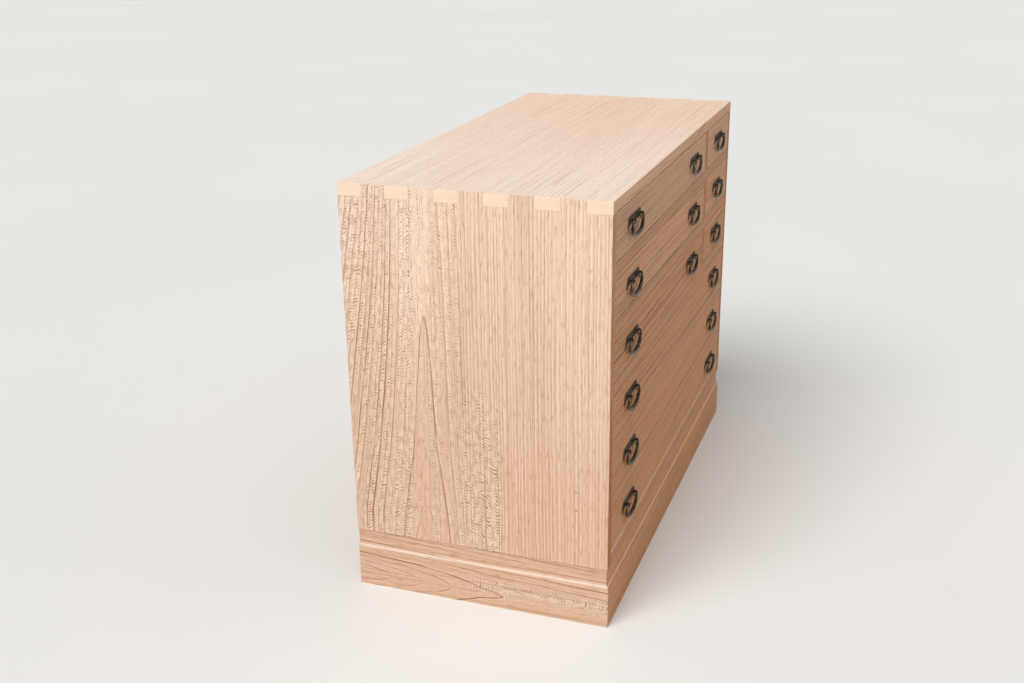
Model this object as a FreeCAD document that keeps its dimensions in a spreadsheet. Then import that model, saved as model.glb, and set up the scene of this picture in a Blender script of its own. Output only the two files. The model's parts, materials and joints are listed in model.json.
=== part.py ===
"""Low clothing chest of pale paulownia wood with nine drawers and fifteen iron pulls.

Millimetres.  +X runs to the right along the front, the front faces -Y, +Z is up.
The origin lies on the floor under the middle of the case.
"""
import FreeCAD, Part
import os
import re
from math import cos, pi, sin

import Sketcher
from FreeCAD import Placement, Rotation, Vector

# Counts
ROWS = 6
SPLIT_ROWS = 3
FINGERS = 11
DRAWER_FINGERS = 5
BAIL_SECTIONS = 17

SIDES = {"left": "-", "right": "+"}

# Shares that shape the bail: how round its loop is, how early it swells, a small step along it
ROUNDNESS_SHARE = 0.8
SWELL_SHARE = 0.6
STEP_SHARE = 0.001

# Driving dimensions of the case
SIZES = {
    "case_width": 952,
    "case_depth": 455,
    "case_height": 728,
    "top_thickness": 20,
    "side_thickness": 18,
    "shelf_thickness": 19,
    "divider_thickness": 19,
    "small_bay_width": 219,
    "bottom_rail_height": 25,
    "bottom_rail_depth": 45,
    "bottom_rail_chamfer": 3,
    "bottom_board_thickness": 19,
    "back_thickness": 10,
    "back_lap": 9,
    "housing_depth": 6,
    "housing_stop": 16,
    "peg_radius": 3,
    "peg_length": 34,
    "peg_setback": 35,
    # Plinth: a lower band, a sloping ledge, and an upper band set back from it
    "plinth_height": 108,
    "plinth_thickness": 24,
    "plinth_band_height": 73,
    "plinth_ledge_rise": 7,
    "plinth_step": 4,
    "plinth_proud": 1,
    # Drawers
    "drawer_recess": 0.5,
    "drawer_side_gap": 0.5,
    "drawer_top_gap": 0.8,
    "drawer_slide_gap": 0.3,
    "drawer_back_gap": 8,
    "drawer_front_thickness": 20,
    "drawer_front_lap": 8,
    "drawer_side_thickness": 10,
    "drawer_side_drop": 2,
    "drawer_back_thickness": 10,
    "drawer_bottom_thickness": 7,
    # Pulls: a plate, two eye posts and a bail that hangs in them
    "pull_drop": 33,
    "plate_thickness": 1.5,
    "plate_edge": 0.5,
    "plate_above_eye": 7,
    "plate_below_eye": 6.5,
    "plate_top_half": 33,
    "plate_shoulder_half": 37,
    "plate_shoulder_drop": 3.5,
    "plate_tip_half": 43.5,
    "plate_tip_drop": 10.5,
    "plate_notch_half": 31,
    "eye_standoff": 6.5,
    "eye_half_spacing": 24.5,
    "eye_radius": 3.5,
    "shank_radius": 2,
    "shank_gap": 0.1,
    "collar_radius": 3.4,
    "collar_thickness": 1.5,
    "clench_length": 16,
    "clench_width": 3,
    "clench_thickness": 1.2,
    "pin_radius": 1.6,
    "pin_gap": 0.08,
    "bail_half_width": 33.7,
    "bail_drop": 27,
    "bail_radius": 3.2,
    "elbow_radius": 5,
    "curl_radius": 2.6,
    "curl_bud_radius": 2,
    "curl_setback": 5,
}

# Sizes that follow from the driving ones
DERIVED = {
    "half_width": "=case_width / 2",
    "half_depth": "=case_depth / 2",
    "inner_half": "=half_width - side_thickness",
    "top_under": "=case_height - top_thickness",
    "back_panel_y": "=half_depth - back_thickness",
    "case_floor": "=plinth_height + bottom_rail_height",
    "opening_height": f"=(top_under - case_floor - {ROWS - 1} * shelf_thickness) / {ROWS}",
    "row_pitch": "=opening_height + shelf_thickness",
    "divider_right": "=inner_half - small_bay_width",
    "divider_left": "=divider_right - divider_thickness",
    "finger_width": f"=case_depth / {FINGERS}",
    "drawer_front_y": "=-half_depth + drawer_recess",
    "drawer_joint_y": "=drawer_front_y + drawer_front_lap",
    "drawer_inside_y": "=drawer_front_y + drawer_front_thickness",
    "drawer_back_y": "=back_panel_y - drawer_back_gap",
    "drawer_side_height":
        "=opening_height - drawer_slide_gap - drawer_top_gap"
        " - drawer_bottom_thickness - drawer_side_drop",
    "drawer_finger_height": f"=drawer_side_height / {DRAWER_FINGERS}",
    "right_pull_x": "=inner_half - small_bay_width / 2",
    "middle_pull_x": "=divider_left - inner_half + right_pull_x",
    "eye_y": "=drawer_front_y - eye_standoff",
    "plinth_half_width": "=half_width + plinth_proud",
    "plinth_front_y": "=-half_depth - plinth_proud",
}

doc = FreeCAD.newDocument("clothing_chest")
sheet = doc.addObject("Spreadsheet::Sheet", "sizes")
for line, (alias, value) in enumerate({**SIZES, **DERIVED}.items(), start=1):
    sheet.set(f"A{line}", alias)
    sheet.set(f"B{line}", str(value))
    sheet.setAlias(f"B{line}", alias)
doc.recompute()

parts = []


def size(alias):
    """One value of the sheet, as a number."""
    return float(getattr(sheet, alias))


def cells(formula):
    """A formula in the sheet's words, as an expression that an object can hold."""
    return re.sub(r"[a-z]+_[a-z_]+", lambda word: f"sizes.{word.group()}", formula)


def value_of(formula):
    return float(sheet.evalExpression(cells(formula)))


def bind(item, **formulas):
    """Ties an object's own sizes to formulas."""
    for name, formula in formulas.items():
        item.setExpression(name, cells(formula))
    return item


def place(item, x="0", y="0", z="0"):
    """Sets an object down at a point given as formulas."""
    item.setExpression("Placement.Base.x", cells(x))
    item.setExpression("Placement.Base.y", cells(y))
    item.setExpression("Placement.Base.z", cells(z))
    return item


def part(item, label):
    """Marks a finished sub-part, which is written to a file of its own."""
    item.Label = label
    parts.append(item)
    return item


def block(name, x, y, z):
    """A box between two bounds along each axis, given as formulas."""
    item = doc.addObject("Part::Box", name)
    bind(
        item,
        Length=f"({x[1]}) - ({x[0]})",
        Width=f"({y[1]}) - ({y[0]})",
        Height=f"({z[1]}) - ({z[0]})",
    )
    return place(item, x[0], y[0], z[0])


def group(name, items):
    item = doc.addObject("Part::Compound", name)
    item.Links = items
    return item


def cut(name, base, tools):
    item = doc.addObject("Part::Cut", name)
    item.Base = base
    item.Tool = tools[0] if len(tools) == 1 else group(f"{name}_cuts", tools)
    return item


def fuse(name, items):
    item = doc.addObject("Part::MultiFuse", name)
    item.Shapes = items
    return item


def rod(name, radius, length, direction):
    """A cylinder whose axis runs from its own base point along +X or +Y."""
    turns = {"x": Rotation(Vector(0, 1, 0), 90), "y": Rotation(Vector(1, 0, 0), -90)}
    item = doc.addObject("Part::Cylinder", name)
    item.Placement = Placement(Vector(), turns[direction])
    return bind(item, Radius=radius, Height=length)


def copy_of(master, name, x="0", y="0", z="0"):
    item = doc.addObject("App::Link", name)
    item.LinkedObject = master
    return place(item, x, y, z)


def sketch_on(body, plane, name):
    item = body.newObject("Sketcher::SketchObject", name)
    planes = {feature.Role: feature for feature in body.Origin.OriginFeatures}
    item.AttachmentSupport = [(planes[plane], "")]
    item.MapMode = "FlatFace"
    return item


def pin_point(sketch, curve, end, across, up):
    """Ties one end of a curve to a place given by two formulas."""
    for kind, formula in (("DistanceX", across), ("DistanceY", up)):
        tie = Sketcher.Constraint(kind, -1, 1, curve, end, value_of(formula))
        sketch.setExpression(f"Constraints[{sketch.addConstraint(tie)}]", cells(formula))


def outline(sketch, corners):
    """A closed outline of straight lines through corners given as pairs of formulas."""
    spots = [Vector(value_of(across), value_of(up), 0) for across, up in corners]
    for spot, following in zip(spots, spots[1:] + spots[:1]):
        sketch.addGeometry(Part.LineSegment(spot, following), False)
    for number, (across, up) in enumerate(corners):
        following = (number + 1) % len(corners)
        sketch.addConstraint(Sketcher.Constraint("Coincident", number, 2, following, 1))
        pin_point(sketch, number, 1, across, up)


def ring(sketch, across, up, radius):
    """A round hole in a sketch."""
    centre = Vector(value_of(across), value_of(up), 0)
    index = sketch.addGeometry(Part.Circle(centre, Vector(0, 0, 1), value_of(radius)), False)
    pin_point(sketch, index, 3, across, up)
    tie = sketch.addConstraint(Sketcher.Constraint("Radius", index, value_of(radius)))
    sketch.setExpression(f"Constraints[{tie}]", cells(radius))


# Case: top, sides, shelves, dividers, bottom and back
Y_ALL = ("-half_depth", "half_depth")
Y_INSIDE = ("-half_depth", "back_panel_y")
PEG_Y = "-half_depth + peg_setback"
X_BETWEEN = ("-inner_half", "inner_half")
END_X = {
    "left": ("-half_width", "-inner_half"),
    "right": ("inner_half", "half_width"),
}


def finger_y(number):
    """Bounds of one finger of the corner joint, counted from the front."""
    return (f"-half_depth + {number} * finger_width", f"-half_depth + {number + 1} * finger_width")


def shelf_z(number):
    """Bounds of the shelf under a row, counted from the top."""
    top = f"top_under - {number} * row_pitch + shelf_thickness"
    return (f"{top} - shelf_thickness", top)


def opening_z(row):
    """Bounds of the drawer opening of a row, counted from the top."""
    top = f"top_under - {row - 1} * row_pitch"
    return (f"{top} - opening_height", top)


def peg_z(number):
    return f"{shelf_z(number)[0]} + shelf_thickness / 2"


def top_board():
    """The top, whose fingers pass through to the outer faces of the sides."""
    z = ("top_under", "case_height")
    board = block("top_blank", ("-half_width", "half_width"), Y_ALL, z)
    sockets = [
        block(f"top_socket_{end}_{number}", x, finger_y(number), z)
        for end, x in END_X.items()
        for number in range(1, FINGERS, 2)
    ]
    part(cut("top_cut", board, sockets), "top_board")


def side_panel(end, x):
    """A side: fingers at its top, housings for the shelves, a rebate for the back."""
    inner = x[1] if end == "left" else x[0]
    depth = {"left": (f"{inner} - housing_depth", inner), "right": (inner, f"{inner} + housing_depth")}
    lap = {"left": (f"{inner} - back_lap", inner), "right": (inner, f"{inner} + back_lap")}
    board = block(f"{end}_blank", x, Y_ALL, ("plinth_height", "case_height"))
    cuts = [
        block(f"{end}_socket_{number}", x, finger_y(number), ("top_under", "case_height"))
        for number in range(0, FINGERS, 2)
    ]
    housed_y = ("-half_depth + housing_stop", "back_panel_y")
    cuts += [
        block(f"{end}_housing_{number}", depth[end], housed_y, shelf_z(number))
        for number in range(1, ROWS)
    ]
    floor_y = ("-half_depth + bottom_rail_depth", "back_panel_y")
    floor_z = ("case_floor - bottom_board_thickness", "case_floor")
    cuts.append(block(f"{end}_floor_housing", depth[end], floor_y, floor_z))
    back_y = ("back_panel_y", "half_depth")
    cuts.append(block(f"{end}_rebate", lap[end], back_y, ("plinth_height", "top_under")))
    bore_base = x[0] if end == "left" else f"{x[1]} - peg_length"
    for number in range(1, ROWS):
        bore = rod(f"{end}_peg_bore_{number}", "peg_radius", "peg_length", "x")
        cuts.append(place(bore, bore_base, PEG_Y, peg_z(number)))
    part(cut(f"{end}_cut", board, cuts), f"{end}_side_panel")


def peg_rods(name, number):
    """The two pegs of one shelf, one driven in through each side."""
    rods = []
    for end, base in (("left", "-half_width"), ("right", "half_width - peg_length")):
        peg = rod(f"{name}_{end}_{number}", "peg_radius", "peg_length", "x")
        rods.append(place(peg, base, PEG_Y, peg_z(number)))
    return rods


def shelf(number):
    """A shelf: its ends sit in housings that stop short of the front edge."""
    wide = ("-inner_half - housing_depth", "inner_half + housing_depth")
    z = shelf_z(number)
    stop_y = ("-half_depth", "-half_depth + housing_stop")
    board = block(f"shelf_blank_{number}", wide, Y_INSIDE, z)
    cuts = [
        block(f"shelf_left_stop_{number}", (wide[0], "-inner_half"), stop_y, z),
        block(f"shelf_right_stop_{number}", ("inner_half", wide[1]), stop_y, z),
    ]
    cuts += peg_rods("shelf_bore", number)
    part(cut(f"shelf_cut_{number}", board, cuts), f"shelf_{number}")


def shelf_pegs():
    """Wooden pegs driven through the sides into the ends of the shelves."""
    rods = []
    for number in range(1, ROWS):
        rods += peg_rods("peg", number)
    part(group("pegs", rods), "shelf_pegs")


def dividers():
    """Upright pieces between the wide and the small drawers, one in each split row."""
    x = ("divider_left", "divider_right")
    pieces = [
        block(f"divider_{row}", x, Y_INSIDE, opening_z(row))
        for row in range(1, SPLIT_ROWS + 1)
    ]
    part(group("divider_pieces", pieces), "dividers")


def bottom_rail():
    """The rail under the lowest drawer, with a chamfer along its upper front edge."""
    body = doc.addObject("PartDesign::Body", "bottom_rail")
    profile = sketch_on(body, "YZ_Plane", "bottom_rail_profile")
    outline(profile, [
        ("-half_depth", "plinth_height"),
        ("-half_depth + bottom_rail_depth", "plinth_height"),
        ("-half_depth + bottom_rail_depth", "case_floor"),
        ("-half_depth + bottom_rail_chamfer", "case_floor"),
        ("-half_depth", "case_floor - bottom_rail_chamfer"),
    ])
    pad = body.newObject("PartDesign::Pad", "bottom_rail_pad")
    pad.Profile = profile
    bind(pad, Length="2 * inner_half")
    part(place(body, x="-inner_half"), "bottom_rail")


def bottom_board():
    wide = ("-inner_half - housing_depth", "inner_half + housing_depth")
    y = ("-half_depth + bottom_rail_depth", "back_panel_y")
    part(block("bottom_board", wide, y, ("case_floor - bottom_board_thickness", "case_floor")),
         "bottom_board")


def back_panel():
    x = ("-inner_half - back_lap", "inner_half + back_lap")
    part(block("back_panel", x, ("back_panel_y", "half_depth"), ("plinth_height", "top_under")),
         "back_panel")


# Plinth: four moulded boards, mitred at the front corners
def plinth_profile(outer, inward):
    """The moulded section, from the outer face inward, as corners of an outline."""
    set_back = f"{outer} {inward} plinth_step"
    inner = f"{outer} {inward} plinth_thickness"
    return [
        (outer, "0"),
        (outer, "plinth_band_height"),
        (set_back, "plinth_band_height + plinth_ledge_rise"),
        (set_back, "plinth_height"),
        (inner, "plinth_height"),
        (inner, "0"),
    ]


def plinth_board(name, plane, profile, length, x, y, mitres):
    """A moulded board: its section padded along its length, then mitred."""
    body = doc.addObject("PartDesign::Body", name)
    section = sketch_on(body, plane, f"{name}_section")
    outline(section, profile)
    pad = body.newObject("PartDesign::Pad", f"{name}_pad")
    pad.Profile = section
    bind(pad, Length=length)
    for number, corners in enumerate(mitres):
        wedge = sketch_on(body, "XY_Plane", f"{name}_mitre_{number}")
        outline(wedge, corners)
        pocket = body.newObject("PartDesign::Pocket", f"{name}_pocket_{number}")
        pocket.Profile = wedge
        pocket.Reversed = True
        bind(pocket, Length="plinth_height")
    part(place(body, x=x, y=y), name)


def plinth():
    outer, front = "plinth_half_width", "plinth_front_y"
    inner_y = f"{front} + plinth_thickness"
    long = f"2 * {outer}"
    near = [("0", front), ("plinth_thickness", inner_y), ("0", inner_y)]
    far = [(long, front), (f"{long} - plinth_thickness", inner_y), (long, inner_y)]
    plinth_board("plinth_front", "YZ_Plane", plinth_profile(front, "+"), long, f"-{outer}", "0",
                 [near, far])
    run = f"half_depth - {front}"
    for name, sign, inward in (("plinth_left", "-", "+"), ("plinth_right", "", "-")):
        edge = f"{sign}{outer}"
        inner = f"{edge} {inward} plinth_thickness"
        mitre = [
            (edge, f"-({run})"),
            (inner, f"-({run})"),
            (inner, f"-({run}) + plinth_thickness"),
        ]
        plinth_board(name, "XZ_Plane", plinth_profile(edge, inward), run, "0", "half_depth", [mitre])
    between = (f"-{outer} + plinth_thickness", f"{outer} - plinth_thickness")
    y = ("half_depth - plinth_thickness", "half_depth")
    part(block("plinth_back", between, y, ("0", "plinth_height")), "plinth_back")


# Pulls: masters around the axis of the eyes, copied to each place
def plate_master():
    """The plate: a band with a drooping wing at each end, its front edges eased."""
    body = doc.addObject("PartDesign::Body", "plate_master")
    shape = sketch_on(body, "XZ_Plane", "plate_outline")
    half = [
        ("plate_top_half", "plate_above_eye"),
        ("plate_shoulder_half", "plate_above_eye - plate_shoulder_drop"),
        ("plate_tip_half", "-plate_tip_drop"),
        ("plate_notch_half", "-plate_below_eye"),
    ]
    outline(shape, half + [(f"-{across}", up) for across, up in reversed(half)])
    for sign in SIDES.values():
        ring(shape, f"0 {sign} eye_half_spacing", "0", "shank_radius + shank_gap")
    pad = body.newObject("PartDesign::Pad", "plate_pad")
    pad.Profile = shape
    bind(pad, Length="plate_thickness")
    doc.recompute()
    faces = [f"Face{n + 1}" for n, face in enumerate(pad.Shape.Faces)
             if abs(face.CenterOfMass.y + size("plate_thickness")) < size("plate_edge") / 2]
    ease = body.newObject("PartDesign::Chamfer", "plate_ease")
    ease.Base = (pad, faces)
    bind(ease, Size="plate_edge")
    return body


def eye_post_master():
    """An eye post: ball with a bore, collar, shank and two legs clenched inside."""
    ball = bind(doc.addObject("Part::Sphere", "eye_ball"), Radius="eye_radius")
    reach = "eye_standoff + drawer_front_thickness + clench_thickness"
    shank = rod("eye_shank", "shank_radius", reach, "y")
    collar = rod("eye_collar", "collar_radius", "collar_thickness", "y")
    place(collar, y="eye_standoff - plate_thickness - collar_thickness")
    inside = "eye_standoff + drawer_front_thickness"
    legs = block(
        "eye_legs",
        ("-clench_width / 2", "clench_width / 2"),
        (inside, f"{inside} + clench_thickness"),
        ("-clench_length / 2", "clench_length / 2"),
    )
    bore = rod("eye_bore", "pin_radius + pin_gap", "2 * eye_radius", "x")
    place(bore, x="-eye_radius")
    return cut("eye_post_master", fuse("eye_solid", [ball, shank, collar, legs]), [bore])


def bail_curve(share):
    """A point of the bail's middle line, from 0 at its left end to 1 at its right."""
    across, down = cos(pi * share), sin(pi * share)
    side = 1 if across > 0 else -1
    x = -side * size("bail_half_width") * abs(across) ** ROUNDNESS_SHARE
    fall = size("bail_drop") - size("elbow_radius")
    return Vector(x, 0, -size("elbow_radius") - fall * down ** ROUNDNESS_SHARE)


def bail_loop():
    """The hanging loop: a round bar that swells towards its middle."""
    rings = []
    thin, thick = size("pin_radius"), size("bail_radius")
    for number in range(BAIL_SECTIONS):
        share = number / (BAIL_SECTIONS - 1)
        before, after = bail_curve(max(share - STEP_SHARE, 0)), bail_curve(min(share + STEP_SHARE, 1))
        along = after - before
        if share in (0, 1):
            along = Vector(0, 0, 2 * share - 1)
        radius = thin + (thick - thin) * abs(sin(pi * share)) ** SWELL_SHARE
        circle = Part.Circle(bail_curve(share), along, radius)
        rings.append(Part.Wire(circle.toShape()))
    return Part.makeLoft(rings, True)


def quarter_point(centre, radius, turn):
    """A point on a circle in the bail's plane; turn 0 is to the right, pi / 2 is up."""
    return centre + Vector(radius * cos(turn), 0, radius * sin(turn))


def bail_end():
    """The right end of the bail: an elbow, a pin through the eye, a curl and its bud."""
    elbow, curl = size("elbow_radius"), size("curl_radius")
    elbow_centre = Vector(size("bail_half_width") - elbow, 0, -elbow)
    curl_centre = Vector(size("eye_half_spacing") - size("curl_setback"), 0, -curl)
    bend = Part.Arc(*[quarter_point(elbow_centre, elbow, pi * share / 4) for share in (0, 1, 2)])
    hook = Part.Arc(*[quarter_point(curl_centre, curl, pi * share / 2) for share in (1, 2, 3)])
    pin = Part.LineSegment(bend.EndPoint, hook.StartPoint)
    path = Part.Wire([bend.toShape(), pin.toShape(), hook.toShape()])
    circle = Part.Circle(bend.StartPoint, Vector(0, 0, 1), size("pin_radius"))
    bar = path.makePipeShell([Part.Wire(circle.toShape())], True, False)
    return bar.fuse(Part.makeSphere(size("curl_bud_radius"), hook.EndPoint))


def bail_shape():
    end = bail_end()
    return bail_loop().fuse([end, end.mirror(Vector(), Vector(1, 0, 0))]).removeSplitter()


def bail(name, shape, x, z):
    """One bail, hung with its pins in the eyes of its two posts."""
    item = doc.addObject("Part::Feature", name)
    item.Shape = shape
    part(place(item, x, "eye_y", z), name)


# Drawers: a front, a box of four boards, and the fixings of the pulls
def pull_height(row):
    return f"{opening_z(row)[1]} - pull_drop"


def drawer(name, row, bay, pulls, plate, post):
    """One drawer in its bay, with pulls at the given places along the front."""
    x = (f"{bay[0]} + drawer_side_gap", f"{bay[1]} - drawer_side_gap")
    left = (x[0], f"{x[0]} + drawer_side_thickness")
    right = (f"{x[1]} - drawer_side_thickness", x[1])
    base = f"{opening_z(row)[0]} + drawer_slide_gap"
    wall = f"{base} + drawer_bottom_thickness"
    wall_z = (wall, f"{wall} + drawer_side_height")
    lap_y = ("drawer_joint_y", "drawer_inside_y")
    back_y = ("drawer_back_y - drawer_back_thickness", "drawer_back_y")
    body_y = ("drawer_joint_y", "drawer_back_y")

    def fingers(label, across, y, start):
        """Blocks on every other finger of a joint, from the first or the second up."""
        return [
            block(f"{name}_{label}_{n}", across, y,
                  (f"{wall} + {n} * drawer_finger_height", f"{wall} + {n + 1} * drawer_finger_height"))
            for n in range(start, DRAWER_FINGERS, 2)
        ]

    board = block(f"{name}_front_blank", x, ("drawer_front_y", "drawer_inside_y"),
                  (base, f"{opening_z(row)[1]} - drawer_top_gap"))
    cuts = [block(f"{name}_rebate", x, lap_y, (base, wall))]
    cuts += fingers("front_left", left, lap_y, 0) + fingers("front_right", right, lap_y, 0)
    for number, pull_x in enumerate(pulls):
        for side, sign in SIDES.items():
            hole = rod(f"{name}_hole_{number}_{side}", "shank_radius + shank_gap",
                       "drawer_front_thickness", "y")
            cuts.append(place(hole, f"{pull_x} {sign} eye_half_spacing", "drawer_front_y",
                              pull_height(row)))
    part(cut(f"{name}_front_cut", board, cuts), f"{name}_front")

    sides = []
    for end, across in (("left", left), ("right", right)):
        blank = block(f"{name}_{end}_blank", across, body_y, wall_z)
        notches = fingers(f"{end}_fore", across, lap_y, 1) + fingers(f"{end}_aft", across, back_y, 1)
        sides.append(cut(f"{name}_{end}_side", blank, notches))
    back_blank = block(f"{name}_back_blank", x, back_y, wall_z)
    notches = fingers("back_left", left, back_y, 0) + fingers("back_right", right, back_y, 0)
    back = cut(f"{name}_back", back_blank, notches)
    floor = block(f"{name}_floor", x, body_y, (base, wall))
    part(group(f"{name}_boards", sides + [back, floor]), f"{name}_box")

    fixings = []
    for number, pull_x in enumerate(pulls):
        fixings.append(copy_of(plate, f"{name}_plate_{number}", pull_x, "drawer_front_y",
                               pull_height(row)))
        for side, sign in SIDES.items():
            fixings.append(copy_of(post, f"{name}_post_{number}_{side}",
                                   f"{pull_x} {sign} eye_half_spacing", "eye_y", pull_height(row)))
    part(group(f"{name}_metal", fixings), f"{name}_fixings")


def drawers():
    """All rows from the top: the split rows first, then the full-width ones."""
    plate, post, shape = plate_master(), eye_post_master(), bail_shape()
    places = {"left": "-right_pull_x", "middle": "middle_pull_x", "right": "right_pull_x"}
    left_bay, right_bay = ("-inner_half", "divider_left"), ("divider_right", "inner_half")
    for row in range(1, ROWS + 1):
        if row <= SPLIT_ROWS:
            held = ["left", "middle", "right"]
            drawer(f"drawer_{row}_left", row, left_bay, [places[k] for k in held[:2]], plate, post)
            drawer(f"drawer_{row}_right", row, right_bay, [places["right"]], plate, post)
        else:
            held = ["left", "right"]
            drawer(f"drawer_{row}", row, X_BETWEEN, [places[k] for k in held], plate, post)
        for spot in held:
            bail(f"bail_{row}_{spot}", shape, places[spot], pull_height(row))


def check():
    """Stops when anything in the document failed or a sub-part is unsound."""
    for item in doc.Objects:
        if {"Invalid", "Error"} & set(item.State):
            raise RuntimeError(f"{item.Name} failed: {item.State}")
    for item in parts:
        if item.Shape.isNull() or not item.Shape.isValid():
            raise RuntimeError(f"{item.Label} has no sound shape")
        if not item.Shape.Solids or min(s.Volume for s in item.Shape.Solids) <= 0:
            raise RuntimeError(f"{item.Label} holds no solid")


def write():
    os.makedirs("parts", exist_ok=True)
    for item in parts:
        item.Shape.exportStep(os.path.join("parts", f"{item.Label}.step"))
        print(item.Label, len(item.Shape.Solids), round(item.Shape.Volume))


top_board()
for end, x in END_X.items():
    side_panel(end, x)
for number in range(1, ROWS):
    shelf(number)
shelf_pegs()
dividers()
bottom_rail()
bottom_board()
back_panel()
plinth()
drawers()
doc.recompute()
check()
write()
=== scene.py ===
# %% [markdown]
# A low clothing chest in pale brushed wood
#
# The chest is a joined case on a plinth, with nine drawers and fifteen hanging iron pulls. Its boards
# and its moving parts were measured and built first, so this lesson only dresses them: it cuts small
# round arrises on the boards, paints grain on them, and forges the pulls again with hammer marks.
# Everything is in metres, and each piece stays where the measured part has it.

# %% Load the measured chest
import json
from math import cos, pi, sin

import bmesh
import bpy
from mathutils import Matrix, Vector

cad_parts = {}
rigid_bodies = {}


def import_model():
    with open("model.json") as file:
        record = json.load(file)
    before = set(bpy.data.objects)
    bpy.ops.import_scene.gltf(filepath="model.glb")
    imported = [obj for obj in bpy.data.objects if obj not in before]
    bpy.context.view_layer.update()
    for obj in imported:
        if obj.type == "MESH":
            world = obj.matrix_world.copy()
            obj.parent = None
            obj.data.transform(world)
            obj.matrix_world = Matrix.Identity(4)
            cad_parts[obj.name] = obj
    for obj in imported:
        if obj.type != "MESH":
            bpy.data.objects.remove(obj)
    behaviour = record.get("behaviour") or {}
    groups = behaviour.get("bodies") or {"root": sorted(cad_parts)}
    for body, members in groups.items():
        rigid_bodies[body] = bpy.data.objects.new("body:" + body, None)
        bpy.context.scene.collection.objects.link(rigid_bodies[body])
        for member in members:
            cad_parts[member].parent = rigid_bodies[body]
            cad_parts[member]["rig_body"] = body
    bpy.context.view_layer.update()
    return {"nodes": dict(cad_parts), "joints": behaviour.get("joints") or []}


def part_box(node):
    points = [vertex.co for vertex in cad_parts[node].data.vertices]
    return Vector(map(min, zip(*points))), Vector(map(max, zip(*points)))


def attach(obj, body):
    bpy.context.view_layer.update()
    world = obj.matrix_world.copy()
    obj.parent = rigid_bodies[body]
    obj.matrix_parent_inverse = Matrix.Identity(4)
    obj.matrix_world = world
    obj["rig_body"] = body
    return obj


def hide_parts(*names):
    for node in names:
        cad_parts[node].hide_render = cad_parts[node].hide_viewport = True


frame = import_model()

MM = 0.001

# %% [markdown]
# The camera
#
# The photograph was taken from standing height, to the left of the chest and a little in front of it.
# Its place was worked out from the corners of the case, which are at known distances from each other.
# A camera looks along its own minus Z, so its three columns are right, up and backwards.

# %% Stand the camera
FILM_WIDTH, FOCAL_LENGTH, FAR_ENOUGH = 36, 43.03, 200
STAND = (-2.17792, -0.68543, 1.15854)
LOOKING, UPWARDS = Vector((0.88173, 0.32119, -0.34553)), Vector((0.3293, 0.1054, 0.9383))

lens = bpy.data.cameras.new("camera")
lens.sensor_width = FILM_WIDTH
lens.lens = FOCAL_LENGTH
lens.clip_end = FAR_ENOUGH
camera = bpy.data.objects.new("camera", lens)
bpy.context.scene.collection.objects.link(camera)
forward = LOOKING.normalized()
right = forward.cross(UPWARDS).normalized()
up = right.cross(forward)
turn = Matrix((right, up, -forward)).transposed()
camera.matrix_world = Matrix.Translation(STAND) @ turn.to_4x4()
bpy.context.scene.camera = camera
print("camera height:", round(camera.location.z, 3), "m")

# %% [markdown]
# Short names for wiring nodes
#
# A finish is a small machine of nodes. Each node is made here by one call that also sets its values and
# joins its wires, so that a recipe reads from top to bottom like a sum.

# %% Helpers for node trees
def add(tree, kind, wires=None, **settings):
    """Make one node. A wire is a plain value, or the output of another node."""
    made = tree.nodes.new(kind)
    for name, value in settings.items():
        setattr(made, name, value)
    for name, value in (wires or {}).items():
        if isinstance(value, bpy.types.NodeSocket):
            tree.links.new(value, made.inputs[name])
        else:
            made.inputs[name].default_value = value
    return made


def calc(tree, how, *values):
    """A sum on numbers: ADD, MULTIPLY, FRACT and so on."""
    return add(tree, "ShaderNodeMath", dict(enumerate(values)), operation=how).outputs[0]


def ease(tree, value, start, end, low=0.0, high=1.0):
    """A soft step: low before start, high after end."""
    wires = {"Value": value, "From Min": start, "From Max": end, "To Min": low, "To Max": high}
    return add(tree, "ShaderNodeMapRange", wires, interpolation_type="SMOOTHSTEP").outputs[0]


def blend(tree, share, first, second):
    """Mix two colours: sockets 0, 6 and 7 are the share and the colours, and 2 is the mix."""
    return add(tree, "ShaderNodeMix", {0: share, 6: first, 7: second}, data_type="RGBA").outputs[2]


def mottle(tree, place, stretch, detail=2.0):
    """Smooth noise from 0 to 1, with its own number of lumps per metre on each axis."""
    scaled = add(tree, "ShaderNodeVectorMath", {0: place, 1: stretch}, operation="MULTIPLY")
    wires = {"Vector": scaled.outputs[0], "Scale": 1.0, "Detail": detail}
    return add(tree, "ShaderNodeTexNoise", wires).outputs["Fac"]


def paint(red, green, blue):
    """A colour as it is picked on a screen, from 0 to 255, in the light units that nodes use."""
    return tuple(((c / 255 + 0.055) / 1.055) ** 2.4 for c in (red, green, blue)) + (1.0,)


print("mid grey in light units:", round(paint(128, 128, 128)[0], 3))

# %% [markdown]
# Sawn wood
#
# A tree adds a ring each year, so a board is a slice through a nest of long tubes. Instead of drawing
# lines on its face, the group below asks every point how far it is from the heart of the log, and turns
# that distance into rings. Boards near the heart show arches, boards far from it show straight lines,
# and the end grain agrees with the faces. The same group serves every board: only its place in the log,
# its ring width and the curl of its fibres change.

# %% How far each point is from the heart
WOOD_SIGNS = ("Line", "Lip", "Band", "Figure", "Feather", "Streak", "Grit", "Fibre", "Tone")
LOG_WORDS = {
    "Heart across": 0.0, "Heart depth": 0.1, "Heart lean": 0.0, "Ring width": 0.008,
    "Line width": 0.0014, "Sway": 0.006, "Curl": 0.0, "Seed": 0.0,
}
WIGGLE = 0.0026


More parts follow.
